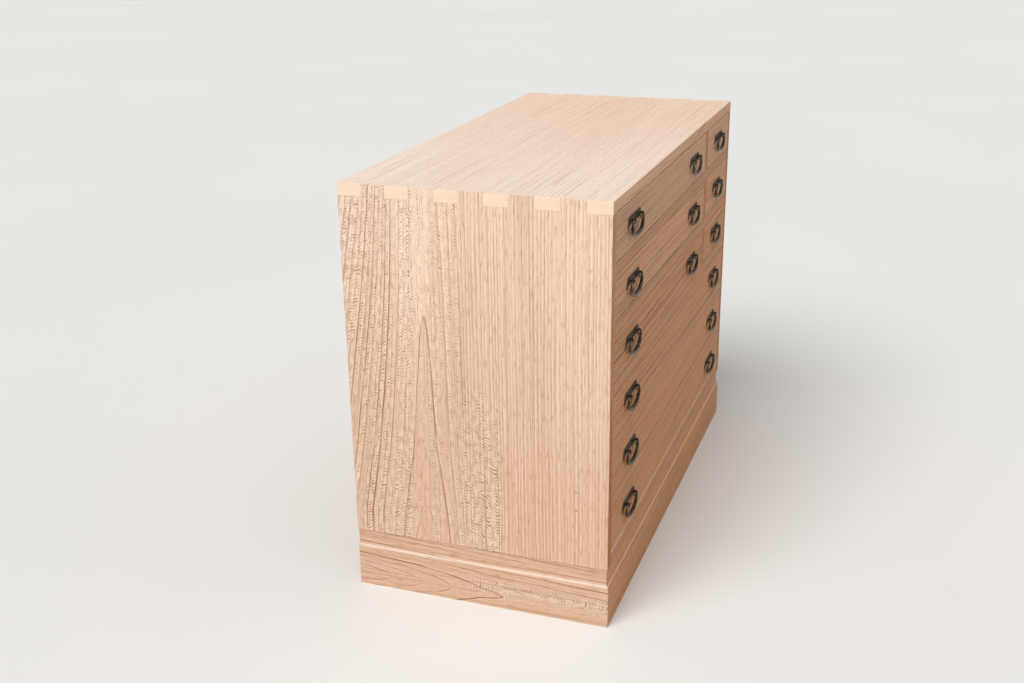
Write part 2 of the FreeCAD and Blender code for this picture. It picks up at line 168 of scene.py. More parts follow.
def heart_distance(tree, given, spot):
    """How far a point is from the heart of the log: sideways, inwards and in all."""
    along, across, depth = add(tree, "ShaderNodeSeparateXYZ", {0: given["Place"]}).outputs
    bend = calc(tree, "SUBTRACT", mottle(tree, spot, (1.6, 7.0, 7.0), 1.0), 0.5)
    wiggle = calc(tree, "SUBTRACT", mottle(tree, spot, (14.0, 55.0, 55.0), 2.0), 0.5)
    offset = calc(tree, "MULTIPLY_ADD", wiggle, WIGGLE, calc(tree, "MULTIPLY", bend, given["Sway"]))
    side = calc(tree, "ADD", calc(tree, "SUBTRACT", across, given["Heart across"]), offset)
    sunk = calc(tree, "ADD", depth, given["Heart depth"])
    deep = calc(tree, "MULTIPLY_ADD", along, given["Heart lean"], sunk)
    squares = calc(tree, "MULTIPLY_ADD", side, side, calc(tree, "MULTIPLY", deep, deep))
    return along, side, deep, calc(tree, "SQRT", squares)


print("words that place a log:", len(LOG_WORDS))

# %% The lines of the rings
NARROWEST, CORE = 0.06, 0.3


def ring_lines(tree, given, spot, side, deep, radius):
    """The dark line where a year ends, a painted highlight in a pale band where the next begins, and the
    share of the year.
    """
    years = calc(tree, "DIVIDE", radius, given["Ring width"])
    era = calc(tree, "MULTIPLY_ADD", years, 0.37, given["Seed"])
    weather = add(tree, "ShaderNodeTexNoise", {"W": era, "Scale": 1.0, "Detail": 1.0},
                  noise_dimensions="1D").outputs["Fac"]
    count = calc(tree, "MULTIPLY_ADD", weather, 1.1, years)
    share = calc(tree, "FRACT", count)
    year = calc(tree, "ADD", calc(tree, "FLOOR", count), given["Seed"])
    vigour = add(tree, "ShaderNodeTexWhiteNoise", {"W": year}, noise_dimensions="1D").outputs["Value"]
    vigour = ease(tree, vigour, 0.30, 0.80, 0.30, 1.0)
    worn = ease(tree, mottle(tree, spot, (8.0, 90.0, 90.0), 2.0), 0.30, 0.60, 0.35, 1.0)
    vigour = calc(tree, "MULTIPLY", vigour, worn)

    # a ring that a face cuts at a low angle is spread wide, but its line stays as thin as the others
    slant = calc(tree, "MULTIPLY", deep, given["Heart lean"])
    steep = calc(tree, "SQRT", calc(tree, "MULTIPLY_ADD", side, side, calc(tree, "MULTIPLY", slant, slant)))
    steep = calc(tree, "MAXIMUM", calc(tree, "DIVIDE", steep, radius), NARROWEST)
    ring_on_face = calc(tree, "DIVIDE", given["Ring width"], steep)
    before = calc(tree, "MULTIPLY", calc(tree, "SUBTRACT", 1.0, share), ring_on_face)
    after = calc(tree, "MULTIPLY", share, ring_on_face)
    core = calc(tree, "MULTIPLY", given["Line width"], CORE)
    line = calc(tree, "MULTIPLY", ease(tree, before, core, given["Line width"], 1.0, 0.0), vigour)
    # the pale band after each line is a painted highlight, as if the relief caught the light
    lip_highlight = calc(tree, "MULTIPLY", ease(tree, after, core, given["Line width"], 1.0, 0.0), worn)
    return line, lip_highlight, share


print("fully dark share of a line:", CORE)

# %% The curl of the fibres
CHEVRON_STEP, CHEVRON_SLOPE, CHEVRON_SWIRL, CHEVRON_RIPPLE = 0.0056, 0.8, 0.022, 2.4


def curled_fibres(tree, given, spot, along, side):
    """Where the fibres curl, and the small broken strokes in chevrons that the curl shows."""
    ripple = mottle(tree, spot, (60.0, 110.0, 110.0), 2.0)
    swirl = mottle(tree, spot, (11.0, 80.0, 80.0), 1.0)
    chevron = calc(tree, "MULTIPLY_ADD", calc(tree, "ABSOLUTE", side), CHEVRON_SLOPE, along)
    chevron = calc(tree, "MULTIPLY_ADD", swirl, CHEVRON_SWIRL, chevron)
    rows = calc(tree, "DIVIDE", chevron, CHEVRON_STEP)
    wave = calc(tree, "FRACT", calc(tree, "MULTIPLY_ADD", ripple, CHEVRON_RIPPLE, rows))
    stroke = ease(tree, calc(tree, "ABSOLUTE", calc(tree, "SUBTRACT", wave, 0.5)), 0.27, 0.42)
    broken = ease(tree, mottle(tree, spot, (75.0, 130.0, 130.0), 1.0), 0.40, 0.58, 0.15, 1.0)
    column = ease(tree, mottle(tree, spot, (1.2, 58.0, 58.0), 1.0), 0.38, 0.56, 0.35, 1.0)
    figure = calc(tree, "MULTIPLY", column, given["Curl"])
    return figure, calc(tree, "MULTIPLY", calc(tree, "MULTIPLY", stroke, broken), figure)


print("chevrons in a metre:", round(1 / CHEVRON_STEP))

# %% The wood group
def sawn_wood():
    tree = bpy.data.node_groups.new("Sawn wood", "ShaderNodeTree")
    face = tree.interface
    face.new_socket("Place", in_out="INPUT", socket_type="NodeSocketVector")
    for name, value in LOG_WORDS.items():
        face.new_socket(name, in_out="INPUT", socket_type="NodeSocketFloat").default_value = value
    for name in WOOD_SIGNS:
        face.new_socket(name, in_out="OUTPUT", socket_type="NodeSocketFloat")
    given = add(tree, "NodeGroupInput").outputs
    result = add(tree, "NodeGroupOutput")

    seed = given["Seed"]
    shift = add(tree, "ShaderNodeCombineXYZ", {0: seed, 1: seed, 2: seed}).outputs[0]
    spot = add(tree, "ShaderNodeVectorMath", {0: given["Place"], 1: shift}, operation="ADD").outputs[0]
    along, side, deep, radius = heart_distance(tree, given, spot)
    line, lip_highlight, share = ring_lines(tree, given, spot, side, deep, radius)
    figure, feather = curled_fibres(tree, given, spot, along, side)
    signs = {
        "Line": line, "Lip": lip_highlight, "Band": share, "Figure": figure, "Feather": feather,
        "Streak": ease(tree, mottle(tree, spot, (3.0, 270.0, 270.0), 3.0), 0.48, 0.70),
        "Grit": ease(tree, mottle(tree, spot, (48.0, 320.0, 320.0), 2.0), 0.50, 0.70),
        "Fibre": mottle(tree, spot, (14.0, 900.0, 900.0), 2.0),
        "Tone": mottle(tree, spot, (0.9, 9.0, 9.0), 2.0),
    }
    for name, value in signs.items():
        tree.links.new(value, result.inputs[name])
    return tree


wood_group = sawn_wood()
print("wood group nodes:", len(wood_group.nodes))

# %% [markdown]
# From rings to a finish
#
# The wood is pale and dry, brushed with straw so that the soft part of each ring lies a little lower than
# the hard line. So the same rings give three things: a darker line in the colour, a shallow relief for
# the light to catch, and a slight change in gloss. A pale band just after each line is a painted
# highlight, where that relief would catch the light. The faces that look to the front are painted a
# deeper, warmer brown as painted shade, and were rubbed smoother; cut ends are paler than long grain,
# and painted shade deepens the whole chest towards the floor. The upward slopes of the plinth's ledge
# and of the bottom rail's chamfer carry a painted highlight. The faces in the gaps round each drawer
# front, and its arrises, are painted darker, partly as dust and partly as painted shade, which draws the
# thin line round each drawer.

# %% Where a board lies in its log
AXES = {"X": 0, "Y": 1, "Z": 2}
# The front colours are the same wood in painted shade, warmed by painted light thrown up from the floor.
OUTSIDE = {
    "pale": paint(245, 216, 192), "deep": paint(220, 182, 152),
    "line": paint(146, 92, 58), "pore": paint(170, 116, 80),
    "front pale": paint(214, 154, 105), "front deep": paint(201, 139, 90),
    "front line": paint(88, 46, 20), "front pore": paint(116, 70, 42),
    # The pale colours of the painted highlights on ledge, chamfer and beside each ring line, also used for
    # the pale curl.
    "rubbed": paint(255, 240, 224), "front rubbed": paint(244, 200, 160),
    # A dark brown for dust and painted shade in the gaps, and for scars, nail holes and the glue joint.
    "end": paint(238, 207, 178), "shade_and_dust": paint(92, 56, 32),
}
# A deeper red-brown that the front faces of side panels and dividers take as painted shade.
FRONT_SHADE_RED = paint(178, 110, 66)


def laid(tree, node, grain, across):
    """The place on a board: along the grain, across its face, and inwards from its outer face."""
    place = add(tree, "ShaderNodeTexCoord")
    parts = add(tree, "ShaderNodeSeparateXYZ", {0: place.outputs["Object"]}).outputs
    third = ({"X", "Y", "Z"} - {grain, across}).pop()
    low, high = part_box(node)
    outer_high = third == "Z" or node.endswith("right") or node.startswith(("right", "back"))
    if outer_high:
        inwards = calc(tree, "SUBTRACT", high[AXES[third]], parts[AXES[third]])
    else:
        inwards = calc(tree, "SUBTRACT", parts[AXES[third]], low[AXES[third]])
    wires = {0: parts[AXES[grain]], 1: parts[AXES[across]], 2: inwards}
    spot = add(tree, "ShaderNodeCombineXYZ", wires).outputs[0]
    facing = add(tree, "ShaderNodeSeparateXYZ", {0: place.outputs["Normal"]}).outputs
    return spot, parts, facing


def log_slice(tree, spot, **values):
    """One use of the wood group, with its place in the log."""
    wires = {name.replace("_", " ").capitalize(): value for name, value in values.items()}
    made = add(tree, "ShaderNodeGroup", {"Place": spot, **wires}, node_tree=wood_group)
    return {name: made.outputs[name] for name in WOOD_SIGNS}


print("wood colours:", len(OUTSIDE))

# %% The wood finish
LEDGE, LEDGE_SOFT, RAIL_FOOT = (0.0748, 0.0779), 0.0010, 0.10
# The second is how much painted shade deepens the chest at the floor.
CHEST_TOP, LOWER_SHADE = 0.75, 0.95
FLAT_RELIEF, FRONT_CALM, RELIEF_DEPTH = 0.6, -0.35, 0.0004


def strip(tree, value, low, high, soft):
    """1 between low and high, fading over soft at both ends."""
    rise = ease(tree, value, low - soft, low + soft)
    return calc(tree, "MULTIPLY", rise, ease(tree, value, high - soft, high + soft, 1.0, 0.0))


def ledge_highlight(tree, z):
    """A painted highlight along the middle of the plinth's ledge, and along the whole slope of the rail's
    chamfer.
    """
    chamfer = ease(tree, z, RAIL_FOOT, RAIL_FOOT + 0.01)
    return calc(tree, "MAXIMUM", strip(tree, z, *LEDGE, LEDGE_SOFT), chamfer)


def brushed(tree, wood, front):
    """The relief that brushing leaves: lines, strokes, streaks and grit lie lower than the fibres."""
    height = calc(tree, "MULTIPLY_ADD", wood["Line"], -0.4, calc(tree, "MULTIPLY", wood["Fibre"], 0.35))
    for sign, depth in (("Feather", -0.4), ("Streak", -0.3), ("Grit", -0.3)):
        height = calc(tree, "MULTIPLY_ADD", wood[sign], depth, height)
    strength = calc(tree, "MULTIPLY_ADD", front, FRONT_CALM, FLAT_RELIEF)
    wires = {"Strength": strength, "Distance": RELIEF_DEPTH, "Height": height}
    return add(tree, "ShaderNodeBump", wires).outputs[0]


def finish_wood(tree, grain, wood, parts, facing, lines=0.6, streaks=0.3, grits=0.16, warmth=1.0,
                ruddy=0.0, dusty=0.0, rubbed=0.0, far=0.0, near=0.0, bands=0.2, marks=None, **paints):
    """Colour, relief and gloss from the signs of the wood."""
    tint = dict(OUTSIDE, **{name.replace("_", " "): value for name, value in paints.items()})
    # Faces that look to the front take the front colours: painted shade.
    front = ease(tree, facing[1], -0.9, -0.5, warmth, 0.0)
    end = ease(tree, calc(tree, "ABSOLUTE", facing[AXES[grain]]), 0.7, 0.9)
    # Painted shade: the chest grows deeper towards the floor, except on faces that look to the front.
    lower = ease(tree, parts[2], 0.0, CHEST_TOP, LOWER_SHADE, 0.0)
    lower = calc(tree, "MULTIPLY", lower, calc(tree, "SUBTRACT", 1.0, front))
    tone = calc(tree, "MULTIPLY_ADD", wood["Band"], bands, ease(tree, wood["Tone"], 0.25, 0.75, 0.0, 0.4))
    tone = calc(tree, "ADD", tone, lower)
    # Painted shade: darker towards the far end along X and a little lighter towards the near end.
    if far:
        tone = calc(tree, "ADD", tone, ease(tree, parts[0], -0.45, 0.45, -0.3 * far, far))
    if near:
        lines = calc(tree, "MULTIPLY_ADD", ease(tree, parts[0], -0.46, 0.10, 1.0, -0.6), near, lines)
    pale = blend(tree, front, tint["pale"], tint["front pale"])
    deep = blend(tree, front, tint["deep"], tint["front deep"])
    line = blend(tree, front, tint["line"], tint["front line"])
    pore = blend(tree, front, tint["pore"], tint["front pore"])
    bright = blend(tree, front, tint["rubbed"], tint["front rubbed"])
    colour = blend(tree, tone, pale, deep)
    # Front faces of side panels and dividers are painted redder and deeper, as more painted shade.
    if ruddy:
        colour = blend(tree, calc(tree, "MULTIPLY", front, ruddy), colour, FRONT_SHADE_RED)
    # The pale band just after each line is a painted highlight, where the brushed relief would catch light.
    layers = (
        ("Figure", 0.28, bright), ("Lip", 0.22, bright), ("Feather", 0.9, line),
        ("Streak", streaks, pore), ("Grit", grits, pore), ("Line", lines, line),
    )
    for sign, share, over in layers:
        colour = blend(tree, calc(tree, "MULTIPLY", wood[sign], share), colour, over)
    colour = blend(tree, ease(tree, wood["Fibre"], 0.52, 0.80, 0.0, 0.25), colour, pore)
    colour = blend(tree, calc(tree, "MULTIPLY", end, 0.7), colour, tint["end"])
    # Upward slopes of the plinth's ledge and the rail's chamfer get a painted highlight.
    if rubbed:
        slope = calc(tree, "MULTIPLY", strip(tree, facing[2], 0.3, 0.85, 0.05), ledge_highlight(tree, parts[2]))
        colour = blend(tree, calc(tree, "MULTIPLY", slope, rubbed), colour, bright)
    gloss = ease(tree, wood["Streak"], 0.0, 1.0, 0.64, 0.54)
    # Faces inside the gaps round a drawer front, and its arrises, are painted darker: dust, and painted
    # shade in the gaps.
    if dusty:
        rim = calc(tree, "MULTIPLY", strip(tree, facing[1], -0.975, -0.15, 0.03), dusty)
        inside = calc(tree, "MULTIPLY", strip(tree, facing[1], -0.15, 0.5, 0.1), dusty * 0.5)
        colour = blend(tree, calc(tree, "ADD", rim, inside), colour, tint["shade_and_dust"])
        gloss = calc(tree, "MULTIPLY_ADD", rim, 0.4, gloss)
    if marks is not None:
        colour = blend(tree, marks, colour, tint["shade_and_dust"])
    skin = tree.nodes["Principled BSDF"]
    skin.inputs["Specular IOR Level"].default_value = 0.2
    tree.links.new(colour, skin.inputs["Base Color"])
    tree.links.new(gloss, skin.inputs["Roughness"])
    tree.links.new(brushed(tree, wood, front), skin.inputs["Normal"])


print("height of the plinth's ledge:", LEDGE[1], "m")

# %% A board's own finish
def new_material(name, colour):
    material = bpy.data.materials.new(name)
    material.use_nodes = True
    material.diffuse_color = colour
    return material, material.node_tree


FINISH_WORDS = ("lines", "streaks", "grits", "warmth", "ruddy", "dusty", "rubbed", "far", "near", "bands",
                "pale", "deep", "end", "front_pale", "front_deep")
SCAR_SOFT, SCAR_SHARE = 0.7 * MM, 0.6


def scars_on(tree, parts, scars):
    """1 inside any scar; each scar gives its low and high along two axes."""
    total = 0.0
    for scar in scars:
        mark = 1.0
        for axis, (low, high) in scar.items():
            mark = calc(tree, "MULTIPLY", mark, strip(tree, parts[AXES[axis]], low, high, SCAR_SOFT))
        total = calc(tree, "ADD", total, mark)
    return total


def board_wood(node, grain, across, scars=(), **words):
    """The finish of a board sawn in one piece: words are its place in the log and its look."""
    material, tree = new_material(node + "_wood", OUTSIDE["pale"])
    spot, parts, facing = laid(tree, node, grain, across)
    look = {word: words.pop(word) for word in FINISH_WORDS if word in words}
    if scars:
        look["marks"] = calc(tree, "MULTIPLY", scars_on(tree, parts, scars), SCAR_SHARE)
    finish_wood(tree, grain, log_slice(tree, spot, **words), parts, facing, **look)
    return material


print("words of a finish:", len(FINISH_WORDS))

# %% [markdown]
# The two side panels
#
# Each side is glued up from two boards with the grain upright. The back board is flat-sawn from a tree
# that leant: long narrow arches open downwards, the lines behind them lean towards the front, and
# between the lines the fibres curl into a feathered figure. The front board is cut nearer the quarter,
# with fine straight lines and one low strip of curl beside the joint. The arches come by themselves,
# because the heart of the log lies nearer the face at the foot of the board than at its head. The back
# board is also paler towards its head.

# %% Marks and lean of the side panels
JOINT_Y = 21.5 * MM
NAIL_HOLE = 2.2 * MM


def near_points(tree, parts, points, radius):
    """1 close to any of the points, for small marks such as filled nail holes."""
    here = add(tree, "ShaderNodeCombineXYZ", {1: parts[1], 2: parts[2]}).outputs[0]
    total = 0.0
    for y, z in points:
        away = add(tree, "ShaderNodeVectorMath", {0: here, 1: (0.0, y, z)}, operation="DISTANCE")
        total = calc(tree, "ADD", total, ease(tree, away.outputs["Value"], radius * 0.5, radius, 1.0, 0.0))
    return total


def leaning(tree, spot, y, z):
    """The back board grew with a lean: its upper part is slid towards the front, most at the back edge."""
    height = calc(tree, "MAXIMUM", calc(tree, "SUBTRACT", z, 0.15), 0.0)
    slide = calc(tree, "MULTIPLY", calc(tree, "MULTIPLY", height, 0.15), ease(tree, y, 0.05, 0.20))
    shift = add(tree, "ShaderNodeCombineXYZ", {1: slide}).outputs[0]
    leant = add(tree, "ShaderNodeVectorMath", {0: spot, 1: shift}, operation="ADD").outputs[0]
    return leant, calc(tree, "ADD", y, slide)


print("the joint is", JOINT_Y, "m behind the middle")

# %% Paint the side panels
def side_wood(node, seed, nails, scars):
    """Two logs in one board, which meet at the joint."""
    material, tree = new_material(node + "_wood", OUTSIDE["pale"])
    spot, parts, facing = laid(tree, node, "Z", "Y")
    _, y, z = parts
    leant, y_leant = leaning(tree, spot, y, z)
    sway = calc(tree, "SUBTRACT", mottle(tree, spot, (3.0, 12.0, 12.0), 2.0), 0.5)
    y_loose = calc(tree, "MULTIPLY_ADD", sway, 0.05, y)
    z_loose = calc(tree, "MULTIPLY_ADD", sway, 0.35, z)
    back_curl = ease(tree, calc(tree, "MULTIPLY_ADD", sway, 0.05, y_leant), 0.075, 0.13, 0.60, 1.0)
    flat = ease(tree, calc(tree, "ABSOLUTE", facing[0]), 0.4, 0.9, 0.1, 1.0)
    back_curl = calc(tree, "MULTIPLY", back_curl, flat)
    low_curl = calc(tree, "MULTIPLY", strip(tree, y_loose, -0.042, 0.04, 0.012),
                    ease(tree, z_loose, 0.30, 0.52, 1.0, 0.0))
    depth = calc(tree, "MULTIPLY_ADD", calc(tree, "MINIMUM", z, 0.28), 0.045, 0.050)
    depth = calc(tree, "MULTIPLY_ADD", z, 0.018, depth)
    back = log_slice(tree, leant, heart_across=0.095, heart_depth=depth, ring_width=0.0096,
                     line_width=0.0034, sway=0.018, curl=back_curl, seed=seed)
    front = log_slice(tree, spot, heart_across=0.30, heart_depth=0.02, ring_width=0.0060,
                      line_width=0.0030, sway=0.010, curl=low_curl, seed=seed + 3.7)
    joint = ease(tree, y, JOINT_Y - 0.2 * MM, JOINT_Y + 0.2 * MM)
    wood = {}
    for sign in WOOD_SIGNS:
        gain = calc(tree, "SUBTRACT", back[sign], front[sign])
        wood[sign] = calc(tree, "MULTIPLY_ADD", gain, joint, front[sign])
    back_lines, front_lines = ease(tree, z, 0.30, 0.72, 0.54, 0.36), ease(tree, y, -0.20, 0.0, 0.22, 0.38)
    lines = calc(tree, "MULTIPLY_ADD", joint, back_lines, front_lines)
    lines = calc(tree, "MULTIPLY", lines, ease(tree, flat, 0.0, 1.0, 0.3, 1.0))
    seam = strip(tree, y, JOINT_Y - 0.4 * MM, JOINT_Y + 0.4 * MM, 0.3 * MM)
    holes = calc(tree, "MULTIPLY", near_points(tree, parts, nails, NAIL_HOLE), 0.6)
    marks = calc(tree, "MULTIPLY_ADD", seam, 0.2, holes)
    marks = calc(tree, "MULTIPLY_ADD", scars_on(tree, parts, scars), 0.35, marks)
    # The back board is painted paler towards its head.
    paler_head = calc(tree, "MULTIPLY", joint, ease(tree, z, 0.25, 0.60))
    pale = blend(tree, paler_head, OUTSIDE["pale"], paint(255, 229, 208))
    finish_wood(tree, "Z", wood, parts, facing, lines=lines, streaks=0.32, grits=0.36, ruddy=0.85,
                bands=0.26, marks=marks, pale=pale, end=paint(249, 228, 210))
    return material


finishes = {
    "left_side_panel": side_wood("left_side_panel", 2.3, [(-0.1725, 0.243), (-0.1725, 0.210)],
                                 [{"Y": (0.048, 0.066), "Z": (0.1645, 0.1652)}]),
    "right_side_panel": side_wood("right_side_panel", 8.1, [(-0.170, 0.236), (-0.168, 0.404)],
                                  [{"Y": (-0.031, -0.018), "Z": (0.3320, 0.3326)}]),
}
print("side finishes:", len(finishes))

# %% [markdown]
# The other boards
#
# Each board gets its own place in the log, so that no two have the same lines. The top is the palest
# board and has the calmest grain. Drawer fronts and shelves run from side to side. The fronts of the
# second, third and fourth rows are cut nearer the heart and have stronger lines than the others.

# %% Paint the boards
# The top board is painted darker towards its far end, as painted shade.
finishes["top_board"] = board_wood(
    "top_board", "X", "Y", scars=[{"X": (-0.398, -0.305), "Y": (-0.1086, -0.1076)}],
    heart_across=-0.75, heart_depth=0.10, heart_lean=0.02, ring_width=0.0075, sway=0.03, seed=5.2,
    lines=0.31, streaks=0.25, grits=0.14, warmth=0.75, far=0.6,
    pale=paint(252, 232, 215), deep=paint(243, 213, 189), end=paint(242, 214, 184),
)
# front_pale and front_deep below are a row's wood in painted shade.
ROW_LOOKS = {
    "1": dict(lines=0.42, streaks=0.36, grits=0.18,
              front_pale=paint(210, 164, 131), front_deep=paint(198, 151, 118)),
    "2": dict(lines=0.80, streaks=0.55, grits=0.25, warmth=0.88),
    "3": dict(lines=0.90, streaks=0.60, grits=0.28),
    "4": dict(lines=0.75, streaks=0.50, grits=0.28),
    "5": dict(lines=0.50, streaks=0.45, grits=0.25),
    "6": dict(lines=0.55, streaks=0.45, grits=0.28),
}
for number, node in enumerate(sorted(frame["nodes"])):
    low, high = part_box(node)
    log = dict(heart_across=low.z - 0.25 - 0.07 * (number % 3), heart_depth=0.03 + 0.015 * (number % 4),
               heart_lean=0.01, ring_width=0.0041 + 0.0003 * (number % 3), line_width=0.0020, sway=0.020,
               seed=11.3 + 2.9 * number)
    if node.startswith("drawer_") and node.endswith("_front"):
        row = node.split("_")[1]
        if row in "234":
            log.update(heart_across=low.z - 0.09, heart_lean=0.03, ring_width=0.0046, line_width=0.0026,
                       sway=0.030)
        finishes[node] = board_wood(node, "X", "Z", dusty=0.7, near=0.3, **log, **ROW_LOOKS[row])
    elif node.startswith("shelf_") and node != "shelf_pegs" or node == "bottom_rail":
        # Shelves get dust and painted shade in the gaps between drawers; the bottom rail gets a painted
        # highlight on its chamfer.
        shade_and_dust, chamfer_highlight = (0.0, 0.6) if node == "bottom_rail" else (0.35, 0.0)
        finishes[node] = board_wood(node, "X", "Z", dusty=shade_and_dust, rubbed=chamfer_highlight,
                                    lines=0.4, streaks=0.30, grits=0.18,
                                    front_pale=paint(202, 148, 106), front_deep=paint(190, 134, 92), **log)
    elif node in ("plinth_front", "plinth_back"):
        log.update(ring_width=0.006, heart_across=low.z - 0.06, heart_lean=0.03)
        # The plinth's ledge gets a painted highlight.
        finishes[node] = board_wood(node, "X", "Z", curl=0.4, lines=0.7, grits=0.25, rubbed=0.6, **log)
print("boards painted so far:", len(finishes))

# %% [markdown]
# Plinth sides, and the boards that are mostly hidden
#
# The sides of the plinth show long arches that open to the back, and a strip of curl near the front.
# Inside boards are plainer: paler, with wide rings and weak lines.

# %% Paint the rest of the wood
def plinth_wood(node, seed):
    """The heart of the log comes nearer towards the back, so the arches open backwards."""
    material, tree = new_material(node + "_wood", OUTSIDE["pale"])
    spot, parts, facing = laid(tree, node, "Y", "Z")
    _, y, z = parts
    depth = calc(tree, "MULTIPLY_ADD", calc(tree, "MAXIMUM", y, 0.0), -0.09, 0.0386)
    depth = calc(tree, "MULTIPLY_ADD", y, -0.03, depth)
    curl = calc(tree, "MULTIPLY", strip(tree, z, 0.020, 0.056, 0.010), ease(tree, y, 0.08, -0.02, 0.2, 1.0))
    wood = log_slice(tree, spot, heart_across=0.024, heart_depth=depth, ring_width=0.0074,
                     line_width=0.0024, sway=0.016, curl=curl, seed=seed)
    # The plinth's ledge gets a painted highlight.
    finish_wood(tree, "Y", wood, parts, facing, lines=0.95, streaks=0.40, grits=0.38, rubbed=0.45,
                pale=paint(240, 211, 188), deep=paint(214, 178, 149))
    return material


for node, seed in (("plinth_left", 4.9), ("plinth_right", 6.4)):
    finishes[node] = plinth_wood(node, seed)
plain = dict(ring_width=0.012, sway=0.02, lines=0.25, streaks=0.2, warmth=0.3)
finishes["dividers"] = board_wood("dividers", "Z", "Y", heart_across=0.4, seed=4.4, ring_width=0.006,
                                  lines=0.4, ruddy=0.8, dusty=0.35)
finishes["bottom_board"] = board_wood("bottom_board", "X", "Y", heart_across=0.5, seed=7.7, **plain)
finishes["back_panel"] = board_wood("back_panel", "X", "Z", heart_across=0.35, heart_depth=0.06,
                                    heart_lean=0.05, seed=9.9, **plain)
finishes["shelf_pegs"] = board_wood("shelf_pegs", "X", "Z", seed=12.5, ring_width=0.004, sway=0.001,
                                    lines=0.3, end=paint(222, 180, 150))
for number, node in enumerate(sorted(frame["nodes"])):
    if node.endswith("_box"):
        finishes[node] = board_wood(node, "Y", "Z", heart_across=0.9, seed=1.7 + number, **plain)
print("wooden nodes with a finish:", len(finishes))

# %% [markdown]
# Arrises
#
# No hand-planed board has a knife-sharp edge. The measured mesh is exact but sharp and made of loose
# triangles, so each board is copied, its triangles are merged into whole faces, and every edge is
# rounded by about a third of a millimetre. Where two boards meet flush, the two small rounds make the
# thin line that a real joint shows. The upright front corner of each side has been knocked and rubbed,
# so it is rounded more than the rest.

# %% Round the boards
PEG_ARRIS, FRONT_ARRIS, BOARD_ARRIS, WORN_ARRIS = 0.2 * MM, 0.7 * MM, 0.35 * MM, 1.6 * MM
MERGE, FLAT_WITHIN, SHARP_FROM = 0.002 * MM, 0.5 * pi / 180, pi / 6


def arris_of(node):
    """Drawer fronts are eased most, because hands and neighbours rub them."""
    if node == "shelf_pegs":
        return PEG_ARRIS
    return FRONT_ARRIS if node.endswith("_front") and node.startswith("drawer") else BOARD_ARRIS


def worn_corner(form, node):
    """The upright front corner of a side panel, which is worn rounder than the rest."""
    low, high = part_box(node)
    outer = low.x if node.startswith("left") else high.x
    return [edge for edge in form.edges if all(abs(v.co.x - outer) < 0.1 * MM and v.co.y < low.y + 0.1 * MM
                                               for v in edge.verts)]


def dress_board(node, finish):
    """A copy of a measured board with rounded edges, which stands in for it."""
    source = frame["nodes"][node]
    form = bmesh.new()
    form.from_mesh(source.data)
    bmesh.ops.remove_doubles(form, verts=form.verts, dist=MERGE)
    bmesh.ops.dissolve_limit(form, angle_limit=FLAT_WITHIN, verts=form.verts, edges=form.edges)
    if node.endswith("side_panel"):
        handled = worn_corner(form, node)
        bmesh.ops.bevel(form, geom=handled, offset=WORN_ARRIS, segments=3, profile=0.5, affect="EDGES")
    sharp = [edge for edge in form.edges if edge.is_manifold and edge.calc_face_angle(0) > SHARP_FROM]
    made = bmesh.ops.bevel(form, geom=sharp, offset=arris_of(node), segments=3, profile=0.5, affect="EDGES")
    for face in form.faces:
        face.smooth = False
    for face in made["faces"]:
        face.smooth = True
    mesh = bpy.data.meshes.new(node + "_dressed")
    form.to_mesh(mesh)
    form.free()
    mesh.materials.append(finish)
    piece = bpy.data.objects.new(node + "_dressed", mesh)
    bpy.context.scene.collection.objects.link(piece)
    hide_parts(node)
    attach(piece, source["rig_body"])
    return piece


dressed = [dress_board(node, finish) for node, finish in sorted(finishes.items())]
print("boards rounded:", len(dressed), "faces:", sum(len(piece.data.polygons) for piece in dressed))

# %% [markdown]
# Forged iron
#
# The pulls are dark brown iron with a dull bloom. Hands have polished the bottom of each ring, and the
# hammer has left small flat facets. Iron is a metal, so its colour shows in its reflections: the bloom
# is rougher than the bare, worn places. The plates are darker and rougher than the rings, because no
# hand touches them.

# %% The iron finish
SOOT, BARE = paint(30, 26, 22), paint(176, 160, 134)
DENTS_PER_METRE = 420.0


